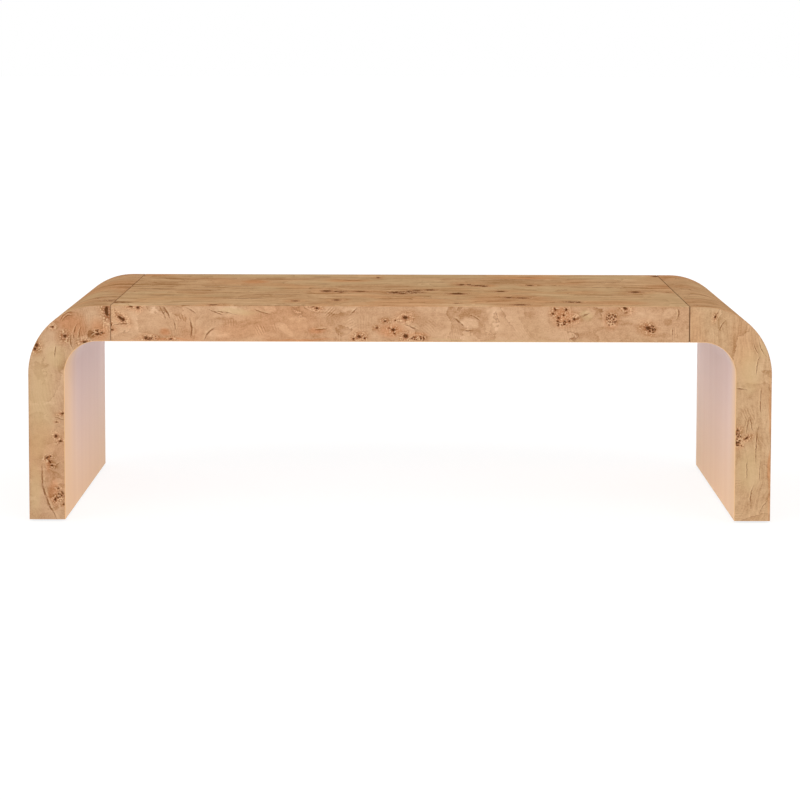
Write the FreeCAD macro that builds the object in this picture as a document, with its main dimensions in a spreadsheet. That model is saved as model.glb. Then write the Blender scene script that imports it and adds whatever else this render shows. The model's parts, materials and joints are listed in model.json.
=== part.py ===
import FreeCAD, Part

import os
import re

import Sketcher
from FreeCAD import Placement, Rotation, Vector

# A waterfall coffee table in burl veneer, in millimetres.
#
# It is three hollow modules: a straight beam, and two leg modules that carry its top and
# underside round a quarter bend and down to the floor. A module is a pair of thin boards
# over 18 mm rails or formers, closed by solid blocks at its ends, with veneer on every outer
# face. The skins of a leg module are boards with saw kerfs across their hidden face, which
# lets them bend. At each seam, a spline in two grooves lines the beam up with the leg, and
# steel plates let into the underside tie the blocks together.
#
# The frame: X along the table, Y from front (-) to back (+), Z up, origin on the floor
# under the middle of the top. A left piece is the right one turned half round about Z.

SIZES = [
    ("overall_length", 1400, "across the outside of both legs"),
    ("overall_depth", 700, "front face to back face"),
    ("overall_height", 411, "floor to table top"),
    ("slab_thickness", 68, "beam and legs, face to face"),
    ("bend_radius", 130, "outside of the bend"),
    ("corner_straight", 26, "flat stretch from the bend to the seam"),
    ("veneer_thickness", 1, "burl veneer on its backer"),
    ("seam_relief", 0.4, "veneer held back from the seam plane"),
    ("skin_thickness", 9, "boards under the veneer"),
    ("rail_thickness", 18, "rails, formers and ribs"),
    ("beam_block_length", 40, "end blocks of the beam, along X"),
    ("leg_block_gap", 4, "from a leg's seam block to the start of the bend"),
    ("foot_block_height", 22, "block that closes the foot"),
    ("kerf_width", 3, "saw kerf in a bent skin"),
    ("kerf_web", 2.5, "board left whole under a kerf"),
    ("outer_kerf_count", 15, "kerfs round the outer skin's bend"),
    ("inner_kerf_count", 11, "kerfs round the inner skin's bend"),
    ("blind_end_gap", 1, "space past the end of what sits in a groove or hole"),
    ("spline_thickness", 9, "spline and its grooves"),
    ("spline_width", 24, "half in each block"),
    ("spline_stop", 40, "from the front or back face to the spline's end"),
    ("plate_length", 28, "joint plate along Y"),
    ("plate_thickness", 2.5, "joint plate, let in flush with the underside"),
    ("plate_pitch", 400, "plate to plate along Y"),
    ("plate_count", 2, "plates at a seam"),
    ("screw_diameter", 5, "plate screw and its hole"),
    ("screw_head_diameter", 10, "countersunk through the plate"),
    ("screw_tip_gap", 4.5, "tip of a plate screw to the spline's groove"),
    ("screw_drive_width", 3, "square drive across flats"),
    ("screw_drive_depth", 1.8, "square drive"),
    ("glide_diameter", 28, "nylon glide"),
    ("glide_height", 4, "foot of the leg above the floor"),
    ("glide_inset", 55, "glide centre from the front or back face"),
    ("glide_pin_diameter", 4, "pin moulded into the glide, and its hole"),
    ("glide_pin_length", 16, "pin above the glide"),
]

# Formulas that several pieces share, in the sheet's names.
SEAM_X = "(overall_length / 2 - bend_radius - corner_straight)"
BEND_X = "(overall_length / 2 - bend_radius)"
BEND_Z = "(overall_height - bend_radius)"
LEG_X = "(overall_length / 2 - slab_thickness / 2)"
MIDDLE_Z = "(overall_height - slab_thickness / 2)"
UNDERSIDE_Z = "(overall_height - slab_thickness)"
INSIDE_RADIUS = "(bend_radius - slab_thickness)"
SHELL = "(veneer_thickness + skin_thickness)"
CAVITY = f"(slab_thickness - 2 * {SHELL})"
LEG_LENGTH = f"({BEND_Z} - glide_height)"
BEAM_LENGTH = f"(2 * {SEAM_X})"
BETWEEN_BLOCKS = f"({BEAM_LENGTH} - 2 * beam_block_length)"
CORE_DEPTH = "(overall_depth - 2 * veneer_thickness)"
BETWEEN_RAILS = f"({CORE_DEPTH} - 2 * rail_thickness)"
FACE_Y = "(overall_depth / 2 - veneer_thickness / 2)"
RAIL_Y = "(overall_depth / 2 - veneer_thickness - rail_thickness / 2)"
BLOCK_HEIGHT = f"({CAVITY} + skin_thickness)"
BLOCK_Z = f"({UNDERSIDE_Z} + veneer_thickness + {BLOCK_HEIGHT} / 2)"
LEG_BLOCK = "(corner_straight - leg_block_gap)"
SPLINE_LENGTH = "(overall_depth - 2 * spline_stop)"
PLATE_WIDTH = f"(2 * {LEG_BLOCK})"
SCREW_X = f"({LEG_BLOCK} / 2)"
SCREW_LENGTH = "(slab_thickness / 2 - spline_thickness / 2 - screw_tip_gap)"
FIRST_PLATE_Y = "(-plate_pitch * (plate_count - 1) / 2)"
GLIDE_Y = "(overall_depth / 2 - glide_inset)"

HALF_TURN = Placement(Vector(0, 0, 0), Rotation(Vector(0, 0, 1), 180))

doc = FreeCAD.newDocument("WaterfallCoffeeTable")
bodies = []


def fill_sheet():
    sheet = doc.addObject("Spreadsheet::Sheet", "Sizes")
    for row, (alias, value, note) in enumerate(SIZES, start=1):
        sheet.set(f"A{row}", alias)
        sheet.set(f"B{row}", str(value))
        sheet.setAlias(f"B{row}", alias)
        sheet.set(f"C{row}", note)
    doc.recompute()


def bind(thing, prop, formula):
    """Ties a property to a formula whose words are names in the sheet."""
    thing.setExpression(prop, re.sub(r"[a-z][a-z_]+", r"Sizes.\g<0>", formula))


def new_body(label, side="right"):
    body = doc.addObject("PartDesign::Body", label)
    body.Label = label
    body.AllowCompound = True
    if side == "left":
        body.Placement = HALF_TURN
    bodies.append(body)
    return body


def new_sketch(body, name, plane, across="0", up="0", out="0"):
    """A sketch on an origin plane of the body, with its own origin moved along the plane and off it."""
    sketch = body.newObject("Sketcher::SketchObject", name)
    origin_plane = next(f for f in body.Origin.OriginFeatures if f.Role == plane)
    sketch.AttachmentSupport = (origin_plane, [""])
    sketch.MapMode = "FlatFace"
    for axis, formula in zip("xyz", (across, up, out)):
        bind(sketch, f"AttachmentOffset.Base.{axis}", formula)
    return sketch


def tie(sketch, kind, *where, formula):
    """A dimension of the sketch, bound to a formula. The 1 is only where the solver starts."""
    index = sketch.addConstraint(Sketcher.Constraint(kind, *where, 1.0))
    bind(sketch, f"Constraints[{index}]", formula)


def hold(sketch, kind, *lines):
    for line in lines:
        sketch.addConstraint(Sketcher.Constraint(kind, line))


def draw_outline(sketch, points):
    """Straight lines from point to point and back to the first. Returns the first line's number."""
    first = sketch.GeometryCount
    for start, end in zip(points, points[1:] + points[:1]):
        sketch.addGeometry(Part.LineSegment(Vector(*start, 0), Vector(*end, 0)))
    for i in range(len(points)):
        following = first + (i + 1) % len(points)
        sketch.addConstraint(Sketcher.Constraint("Coincident", first + i, 2, following, 1))
    return first


def draw_box(sketch, points):
    """An upright rectangle. Returns its lines: bottom, right, top, left."""
    bottom = draw_outline(sketch, points)
    right, top, left = bottom + 1, bottom + 2, bottom + 3
    hold(sketch, "Horizontal", bottom, top)
    hold(sketch, "Vertical", right, left)
    return bottom, right, top, left


def draw_rectangle(sketch, width, height):
    """A rectangle centred on the sketch's origin."""
    bottom, right, top, left = draw_box(sketch, [(-9, -5), (9, -5), (9, 5), (-9, 5)])
    sketch.addConstraint(Sketcher.Constraint("Symmetric", bottom, 1, top, 1, -1, 1))
    tie(sketch, "DistanceX", bottom, 1, bottom, 2, formula=width)
    tie(sketch, "DistanceY", right, 1, right, 2, formula=height)


def draw_circle(sketch, diameter):
    """A circle centred on the sketch's origin."""
    sketch.addGeometry(Part.Circle(Vector(0, 0, 0), Vector(0, 0, 1), 4))
    sketch.addConstraint(Sketcher.Constraint("Coincident", 0, 3, -1, 1))
    tie(sketch, "Diameter", 0, formula=diameter)


def draw_turned_profile(sketch, corners):
    """A closed half section. Each corner is a pair of formulas: distance from the axis, and height."""
    start = [(3 + i % 3, 3 + i) for i in range(len(corners))]
    first = draw_outline(sketch, start)
    for i, (radius, height) in enumerate(corners):
        if radius == "0":
            sketch.addConstraint(Sketcher.Constraint("PointOnObject", first + i, 1, -2))
        else:
            tie(sketch, "DistanceX", -1, 1, first + i, 1, formula=radius)
        if height == "0":
            sketch.addConstraint(Sketcher.Constraint("PointOnObject", first + i, 1, -1))
        else:
            tie(sketch, "DistanceY", -1, 1, first + i, 1, formula=height)


def draw_bend(sketch, outer_radius, inner_radius, run):
    """The waterfall profile about the bend's centre: a flat run, a quarter bend and a straight leg."""
    r_out, r_in, flat, leg = 120, 60, 20, 200
    upright = Vector(0, 0, 1)
    for piece in (
        Part.LineSegment(Vector(-flat, r_out, 0), Vector(0, r_out, 0)),
        Part.ArcOfCircle(Part.Circle(Vector(0, 0, 0), upright, r_out), 0, 1.5708),
        Part.LineSegment(Vector(r_out, 0, 0), Vector(r_out, -leg, 0)),
        Part.LineSegment(Vector(r_out, -leg, 0), Vector(r_in, -leg, 0)),
        Part.LineSegment(Vector(r_in, -leg, 0), Vector(r_in, 0, 0)),
        Part.ArcOfCircle(Part.Circle(Vector(0, 0, 0), upright, r_in), 0, 1.5708),
        Part.LineSegment(Vector(0, r_in, 0), Vector(-flat, r_in, 0)),
        Part.LineSegment(Vector(-flat, r_in, 0), Vector(-flat, r_out, 0)),
    ):
        sketch.addGeometry(piece)
    top, outer_arc, outside, foot, inside, inner_arc, underside, end = range(8)
    for where in (
        ("Coincident", outside, 2, foot, 1),
        ("Coincident", foot, 2, inside, 1),
        ("Coincident", underside, 2, end, 1),
        ("Coincident", end, 2, top, 1),
        ("Tangent", top, 2, outer_arc, 2),
        ("Tangent", outer_arc, 1, outside, 1),
        ("Tangent", inside, 2, inner_arc, 1),
        ("Tangent", inner_arc, 2, underside, 1),
        ("Coincident", outer_arc, 3, -1, 1),
        ("Coincident", inner_arc, 3, -1, 1),
    ):
        sketch.addConstraint(Sketcher.Constraint(*where))
    hold(sketch, "Horizontal", top, foot, underside)
    hold(sketch, "Vertical", outside, inside, end)
    tie(sketch, "Radius", outer_arc, formula=outer_radius)
    tie(sketch, "Radius", inner_arc, formula=inner_radius)
    tie(sketch, "DistanceX", top, 1, top, 2, formula=run)
    tie(sketch, "DistanceY", outside, 2, outside, 1, formula=LEG_LENGTH)


def pad(body, sketch, thickness):
    """Half to each side of the sketch."""
    feature = body.newObject("PartDesign::Pad", sketch.Name + "_pad")
    feature.Profile = sketch
    feature.SideType = "Symmetric"
    bind(feature, "Length", thickness)


def pocket(body, sketch, reach):
    """Cuts as far as reach to each side of the sketch."""
    feature = body.newObject("PartDesign::Pocket", sketch.Name + "_pocket")
    feature.Profile = sketch
    feature.SideType = "Symmetric"
    bind(feature, "Length", f"2 * {reach}")
    return feature


def turn(body, sketch, kind):
    """A full turn about the sketch's vertical axis: a Revolution adds and a Groove cuts."""
    feature = body.newObject("PartDesign::" + kind, sketch.Name + "_turned")
    feature.Profile = sketch
    feature.ReferenceAxis = (sketch, ["V_Axis"])
    feature.Angle = 360
    return feature


def repeat(body, sketch, axis, count, pitch, feature=None):
    """Copies a feature, or the whole body where none is named, along one of the sketch's axes."""
    so_far = body.Tip
    pattern = body.newObject("PartDesign::LinearPattern", f"{sketch.Name}_along_{axis[0]}")
    if feature:
        pattern.Originals = [feature]
    else:
        pattern.TransformMode = "Whole shape"
        pattern.BaseFeature = so_far
    pattern.Direction = (sketch, [axis])
    pattern.Mode = "Spacing"
    bind(pattern, "Occurrences", count)
    bind(pattern, "Offset", pitch)
    body.Tip = pattern


def board(label, plane, width, height, thickness, across="0", up="0", out="0", side="right"):
    """A flat rectangular board, centred on the point given in the plane's own directions."""
    body = new_body(label, side)
    sketch = new_sketch(body, label + "_outline", plane, across, up, out)
    draw_rectangle(sketch, width, height)
    pad(body, sketch, thickness)
    return body


def bent_board(label, side, outer_radius, inner_radius, run, width, out="0"):
    """A board or sheet that follows the bend, between two radii about the bend's centre."""
    body = new_body(label, side)
    sketch = new_sketch(body, label + "_profile", "XZ_Plane", BEND_X, BEND_Z, out)
    draw_bend(sketch, outer_radius, inner_radius, run)
    pad(body, sketch, width)
    return body


def saw_kerfs(body, near_radius, far_radius, count):
    """A fan of saw kerfs across the bend of a skin, between two radii about the bend's centre."""
    sketch = new_sketch(body, body.Label + "_kerf", "XZ_Plane", BEND_X, BEND_Z)
    sketch.AttachmentOffset = Placement(Vector(0, 0, 0), Rotation(Vector(0, 0, 1), 3))
    bind(sketch, "AttachmentOffset.Rotation.Angle", f"45 / {count}")
    bottom, right, top, left = draw_box(sketch, [(50, -1), (60, -1), (60, 1), (50, 1)])
    tie(sketch, "DistanceX", -1, 1, bottom, 1, formula=near_radius)
    tie(sketch, "DistanceX", -1, 1, bottom, 2, formula=far_radius)
    tie(sketch, "DistanceY", bottom, 1, -1, 1, formula="kerf_width / 2")
    tie(sketch, "DistanceY", -1, 1, top, 1, formula="kerf_width / 2")
    kerf = pocket(body, sketch, "overall_depth")
    fan = body.newObject("PartDesign::PolarPattern", sketch.Name + "_fan")
    fan.Originals = [kerf]
    fan.Axis = (sketch, ["N_Axis"])
    fan.Mode = "Spacing"
    bind(fan, "Offset", f"90 / {count}")
    bind(fan, "Occurrences", count)
    body.Tip = fan


def cut_groove(block, seam_x):
    """The stopped groove for the spline, in a block's face at the seam."""
    sketch = new_sketch(block, block.Label + "_groove", "YZ_Plane", up=MIDDLE_Z, out=seam_x)
    draw_rectangle(sketch, SPLINE_LENGTH, "spline_thickness")
    pocket(block, sketch, "(spline_width / 2 + blind_end_gap)")


def cut_plate_recesses(body, seam_x, name="plate_recess"):
    """Recesses for the joint plates, open to the underside and to the seam."""
    sketch = new_sketch(body, f"{body.Label}_{name}", "XY_Plane", seam_x, FIRST_PLATE_Y, UNDERSIDE_Z)
    draw_rectangle(sketch, PLATE_WIDTH, "plate_length")
    recess = pocket(body, sketch, "plate_thickness")
    repeat(body, sketch, "V_Axis", "plate_count", "plate_pitch", recess)


def drill_for_plate_screws(block, screw_x):
    sketch = new_sketch(block, block.Label + "_screw_hole", "XY_Plane", screw_x, FIRST_PLATE_Y, UNDERSIDE_Z)
    draw_circle(sketch, "screw_diameter")
    hole = pocket(block, sketch, f"({SCREW_LENGTH} + blind_end_gap)")
    repeat(block, sketch, "V_Axis", "plate_count", "plate_pitch", hole)


# The beam.


def make_beam():
    veneer_length = f"({BEAM_LENGTH} - 2 * seam_relief)"
    veneer_middle = "veneer_thickness / 2"
    panel_middle = "(veneer_thickness + skin_thickness / 2)"

    board("beam_top_veneer", "XY_Plane", veneer_length, "overall_depth", "veneer_thickness",
          out=f"overall_height - {veneer_middle}")
    board("beam_top_panel", "XY_Plane", BEAM_LENGTH, CORE_DEPTH, "skin_thickness",
          out=f"overall_height - {panel_middle}")
    board("beam_bottom_panel", "XY_Plane", BETWEEN_BLOCKS, CORE_DEPTH, "skin_thickness",
          out=f"{UNDERSIDE_Z} + {panel_middle}")
    underside = board("beam_underside_veneer", "XY_Plane", veneer_length, "overall_depth",
                      "veneer_thickness", out=f"{UNDERSIDE_Z} + {veneer_middle}")

    for face, sign in (("front", ""), ("back", "-")):
        board(f"beam_{face}_veneer", "XZ_Plane", veneer_length, "slab_thickness - 2 * veneer_thickness",
              "veneer_thickness", up=MIDDLE_Z, out=f"{sign}{FACE_Y}")
        board(f"beam_{face}_rail", "XZ_Plane", BETWEEN_BLOCKS, CAVITY, "rail_thickness",
              up=MIDDLE_Z, out=f"{sign}{RAIL_Y}")

    for place, step in (("left", "-1"), ("centre", "0"), ("right", "1")):
        board(f"beam_{place}_rib", "YZ_Plane", BETWEEN_RAILS, CAVITY, "rail_thickness",
              up=MIDDLE_Z, out=f"{step} * {BETWEEN_BLOCKS} / 4")

    for end, sign in (("left", "-"), ("right", "")):
        cut_plate_recesses(underside, f"{sign}{SEAM_X}", f"{end}_plate_recess")
        block = board(f"beam_{end}_block", "YZ_Plane", CORE_DEPTH, BLOCK_HEIGHT, "beam_block_length",
                      up=BLOCK_Z, out=f"{sign}({SEAM_X} - beam_block_length / 2)")
        cut_groove(block, f"{sign}{SEAM_X}")
        cut_plate_recesses(block, f"{sign}{SEAM_X}")
        drill_for_plate_screws(block, f"{sign}({SEAM_X} - {SCREW_X})")


# A leg module.


def faces_of(side):
    """The front and back of a leg module as built. The half turn of the left one swaps them."""
    if side == "left":
        return (("back", ""), ("front", "-"))
    return (("front", ""), ("back", "-"))


def make_leg_shell(side):
    """The veneers and the two kerfed skins, from the outside of the bend to the inside."""
    outer_skin_face = "(bend_radius - veneer_thickness)"
    outer_cavity_face = f"(bend_radius - {SHELL})"
    inner_cavity_face = f"({INSIDE_RADIUS} + {SHELL})"
    inner_skin_face = f"({INSIDE_RADIUS} + veneer_thickness)"
    veneer_run = "(corner_straight - seam_relief)"

    bent_board(f"{side}_leg_outer_veneer", side, "bend_radius", outer_skin_face,
               veneer_run, "overall_depth")
    outer_skin = bent_board(f"{side}_leg_outer_skin", side, outer_skin_face, outer_cavity_face,
                            "corner_straight", CORE_DEPTH)
    saw_kerfs(outer_skin, f"({outer_cavity_face} - kerf_width)", f"({outer_skin_face} - kerf_web)",
              "outer_kerf_count")
    inner_skin = bent_board(f"{side}_leg_inner_skin", side, inner_cavity_face, inner_skin_face,
                            "leg_block_gap", CORE_DEPTH)
    saw_kerfs(inner_skin, f"({inner_skin_face} + kerf_web)", f"({inner_cavity_face} + kerf_width)",
              "inner_kerf_count")
    inner_veneer = bent_board(f"{side}_leg_inner_veneer", side, inner_skin_face, INSIDE_RADIUS,
                              veneer_run, "overall_depth")
    cut_plate_recesses(inner_veneer, SEAM_X)
    for face, sign in faces_of(side):
        bent_board(f"{side}_leg_{face}_veneer", side, outer_skin_face, inner_skin_face,
                   veneer_run, "veneer_thickness", out=f"{sign}{FACE_Y}")


def make_leg_core(side):
    """The formers that the skins are bent over, the ribs, and the blocks that close the ends."""
    outer_cavity_face = f"(bend_radius - {SHELL})"
    inner_cavity_face = f"({INSIDE_RADIUS} + {SHELL})"
    rib_height = f"({LEG_LENGTH} - foot_block_height)"
    for face, sign in faces_of(side):
        bent_board(f"{side}_leg_{face}_former", side, outer_cavity_face, inner_cavity_face,
                   "leg_block_gap", "rail_thickness", out=f"{sign}{RAIL_Y}")
        board(f"{side}_leg_{face}_rib", "XZ_Plane", CAVITY, rib_height, "rail_thickness",
              across=LEG_X, up=f"{BEND_Z} - {rib_height} / 2", out=f"{sign}{RAIL_Y} / 3", side=side)

    seam_block = board(f"{side}_leg_seam_block", "YZ_Plane", CORE_DEPTH, BLOCK_HEIGHT, LEG_BLOCK,
                       up=BLOCK_Z, out=f"{SEAM_X} + {LEG_BLOCK} / 2", side=side)
    cut_groove(seam_block, SEAM_X)
    cut_plate_recesses(seam_block, SEAM_X)
    drill_for_plate_screws(seam_block, f"({SEAM_X} + {SCREW_X})")

    foot_block = board(f"{side}_leg_foot_block", "XY_Plane", CAVITY, BETWEEN_RAILS, "foot_block_height",
                       across=LEG_X, out="glide_height + foot_block_height / 2", side=side)
    sketch = new_sketch(foot_block, f"{side}_glide_hole", "XY_Plane", LEG_X, f"-{GLIDE_Y}", "glide_height")
    draw_circle(sketch, "glide_pin_diameter")
    hole = pocket(foot_block, sketch, "(glide_pin_length + blind_end_gap)")
    repeat(foot_block, sketch, "V_Axis", "2", f"2 * {GLIDE_Y}", hole)


def make_glides(side):
    """Nylon discs under the leg, each on the pin moulded into it."""
    pin_top = "(glide_height + glide_pin_length)"
    for face, sign in faces_of(side):
        body = new_body(f"{side}_{face}_glide", side)
        sketch = new_sketch(body, f"{side}_{face}_glide_section", "XZ_Plane", LEG_X, "0", f"{sign}{GLIDE_Y}")
        draw_turned_profile(sketch, [
            ("0", "0"),
            ("glide_diameter / 2", "0"),
            ("glide_diameter / 2", "glide_height"),
            ("glide_pin_diameter / 2", "glide_height"),
            ("glide_pin_diameter / 2", pin_top),
            ("0", pin_top),
        ])
        turn(body, sketch, "Revolution")


# The hardware of a seam.


def make_spline(side):
    board(f"{side}_seam_spline", "XY_Plane", "spline_width", SPLINE_LENGTH, "spline_thickness",
          across=SEAM_X, out=MIDDLE_Z, side=side)


def make_joint_plates(side):
    """Flat steel plates across the seam, with a countersunk hole over each block."""
    body = new_body(f"{side}_joint_plates", side)
    outline = new_sketch(body, f"{side}_plate_outline", "XY_Plane", SEAM_X, FIRST_PLATE_Y,
                         f"{UNDERSIDE_Z} + plate_thickness / 2")
    draw_rectangle(outline, PLATE_WIDTH, "plate_length")
    pad(body, outline, "plate_thickness")
    sink = new_sketch(body, f"{side}_plate_countersink", "XZ_Plane", f"{SEAM_X} - {SCREW_X}",
                      UNDERSIDE_Z, f"-{FIRST_PLATE_Y}")
    draw_turned_profile(sink, [
        ("0", "0"),
        ("screw_head_diameter / 2", "0"),
        ("screw_diameter / 2", "plate_thickness"),
        ("0", "plate_thickness"),
    ])
    hole = turn(body, sink, "Groove")
    repeat(body, sink, "H_Axis", "2", f"2 * {SCREW_X}", hole)
    repeat(body, outline, "V_Axis", "plate_count", "plate_pitch")


def make_plate_screws(side):
    """Countersunk wood screws with a square drive, heads flush with the underside."""
    body = new_body(f"{side}_plate_screws", side)
    place = f"{SEAM_X} - {SCREW_X}"
    section = new_sketch(body, f"{side}_screw_section", "XZ_Plane", place, UNDERSIDE_Z, f"-{FIRST_PLATE_Y}")
    draw_turned_profile(section, [
        ("0", "0"),
        ("screw_head_diameter / 2", "0"),
        ("screw_diameter / 2", "plate_thickness"),
        ("screw_diameter / 2", SCREW_LENGTH),
        ("0", SCREW_LENGTH),
    ])
    turn(body, section, "Revolution")
    drive = new_sketch(body, f"{side}_screw_drive", "XY_Plane", place, FIRST_PLATE_Y, UNDERSIDE_Z)
    draw_rectangle(drive, "screw_drive_width", "screw_drive_width")
    pocket(body, drive, "screw_drive_depth")
    repeat(body, drive, "H_Axis", "2", f"2 * {SCREW_X}")
    repeat(body, drive, "V_Axis", "plate_count", "plate_pitch")


def check_document():
    for thing in doc.Objects:
        if "Invalid" in thing.State or "Error" in thing.State:
            raise RuntimeError(f"{thing.Label} failed: {thing.State}")
    for sketch in doc.findObjects("Sketcher::SketchObject"):
        if not sketch.FullyConstrained:
            raise RuntimeError(f"{sketch.Label} isn't fully constrained")
    for body in bodies:
        if body.Shape.isNull() or not body.Shape.isValid() or not body.Shape.Solids:
            raise RuntimeError(f"{body.Label} has no valid solid")


def write_parts(folder="parts"):
    os.makedirs(folder, exist_ok=True)
    for body in bodies:
        body.Shape.exportStep(os.path.join(folder, body.Label + ".step"))


fill_sheet()
make_beam()
for side in ("left", "right"):
    make_leg_shell(side)
    make_leg_core(side)
    make_glides(side)
    make_spline(side)
    make_joint_plates(side)
    make_plate_screws(side)
doc.recompute()
check_document()
write_parts()
print(len(bodies), "pieces written")
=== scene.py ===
import json
import math

import bmesh
import bpy
from mathutils import Matrix, Vector


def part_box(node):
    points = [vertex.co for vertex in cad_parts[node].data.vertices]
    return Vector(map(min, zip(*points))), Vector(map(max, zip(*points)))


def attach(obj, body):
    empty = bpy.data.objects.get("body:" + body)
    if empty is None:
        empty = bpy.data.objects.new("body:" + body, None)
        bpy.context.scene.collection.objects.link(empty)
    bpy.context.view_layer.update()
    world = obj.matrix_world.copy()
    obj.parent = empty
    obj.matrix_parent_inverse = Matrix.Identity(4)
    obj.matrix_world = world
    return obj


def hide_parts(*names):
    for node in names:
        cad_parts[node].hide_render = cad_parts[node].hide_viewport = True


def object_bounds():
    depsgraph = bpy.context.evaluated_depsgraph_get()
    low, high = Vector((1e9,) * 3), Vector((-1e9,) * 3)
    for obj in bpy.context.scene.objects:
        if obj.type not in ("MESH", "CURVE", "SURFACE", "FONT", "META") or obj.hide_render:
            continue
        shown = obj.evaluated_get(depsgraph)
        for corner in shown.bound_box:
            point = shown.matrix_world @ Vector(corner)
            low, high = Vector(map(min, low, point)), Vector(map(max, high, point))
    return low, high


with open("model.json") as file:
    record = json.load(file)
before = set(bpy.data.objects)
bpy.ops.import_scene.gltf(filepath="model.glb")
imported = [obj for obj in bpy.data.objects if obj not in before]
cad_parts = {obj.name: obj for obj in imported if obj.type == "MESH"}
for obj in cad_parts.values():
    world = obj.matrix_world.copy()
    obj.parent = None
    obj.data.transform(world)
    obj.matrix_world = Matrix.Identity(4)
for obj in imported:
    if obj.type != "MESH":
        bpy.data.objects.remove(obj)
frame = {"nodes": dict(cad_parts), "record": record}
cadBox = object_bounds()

# A waterfall coffee table: a beam and two bent legs, with burl veneer on every outer face and
# plain veneer underneath. X runs along the table, Y from front to back, Z up, in metres.

scene = bpy.context.scene
scene.view_settings.view_transform = "Standard"

# Places, worked out from the frame.
tableLow, tableHigh = cadBox
depth = tableHigh.y - tableLow.y
frontY = -depth / 2
halfLength = tableHigh.x
topZ = tableHigh.z
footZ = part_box("right_leg_outer_veneer")[0].z
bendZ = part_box("right_leg_front_rib")[1].z  # the ribs reach up to where the bend starts
bendRadius = topZ - bendZ  # outside of the bend
bendX = halfLength - bendRadius
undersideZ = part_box("beam_underside_veneer")[0].z
insideRadius = undersideZ - bendZ
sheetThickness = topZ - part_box("beam_top_veneer")[0].z
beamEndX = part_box("beam_top_veneer")[1].x
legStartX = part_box("right_leg_outer_veneer")[0].x
seamX = (beamEndX + legStartX) / 2
plateLow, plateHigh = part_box("right_joint_plates")
print("places found: bend radius", round(bendRadius * 1000, 1), "mm")


class Wire:
    # One output of a node. Python's operators on it add Math nodes.
    def __init__(self, finish, socket):
        self.finish = finish
        self.socket = socket

    def out(self, name):
        return Wire(self.finish, self.socket.node.outputs[name])

    def maths(self, operation, first, second=0.0):
        return self.finish.add("Math", {"operation": operation}, {0: first, 1: second})

    def __add__(self, other):
        return self.maths("ADD", self, other)

    def __radd__(self, other):
        return self.maths("ADD", other, self)

    def __sub__(self, other):
        return self.maths("SUBTRACT", self, other)

    def __rsub__(self, other):
        return self.maths("SUBTRACT", other, self)

    def __mul__(self, other):
        return self.maths("MULTIPLY", self, other)

    def __rmul__(self, other):
        return self.maths("MULTIPLY", other, self)

    def __truediv__(self, other):
        return self.maths("DIVIDE", self, other)

    def sine(self):
        return self.maths("SINE", self)

    def size(self):
        return self.maths("ABSOLUTE", self)

    def fraction(self):
        return self.maths("FRACT", self)

    def lowest(self, other):
        return self.maths("MINIMUM", self, other)

    def highest(self, other):
        return self.maths("MAXIMUM", self, other)


ovalReach = 8.0  # how many times its own size an oval is felt
farAway = ovalReach + 1  # further than any oval is felt


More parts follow.
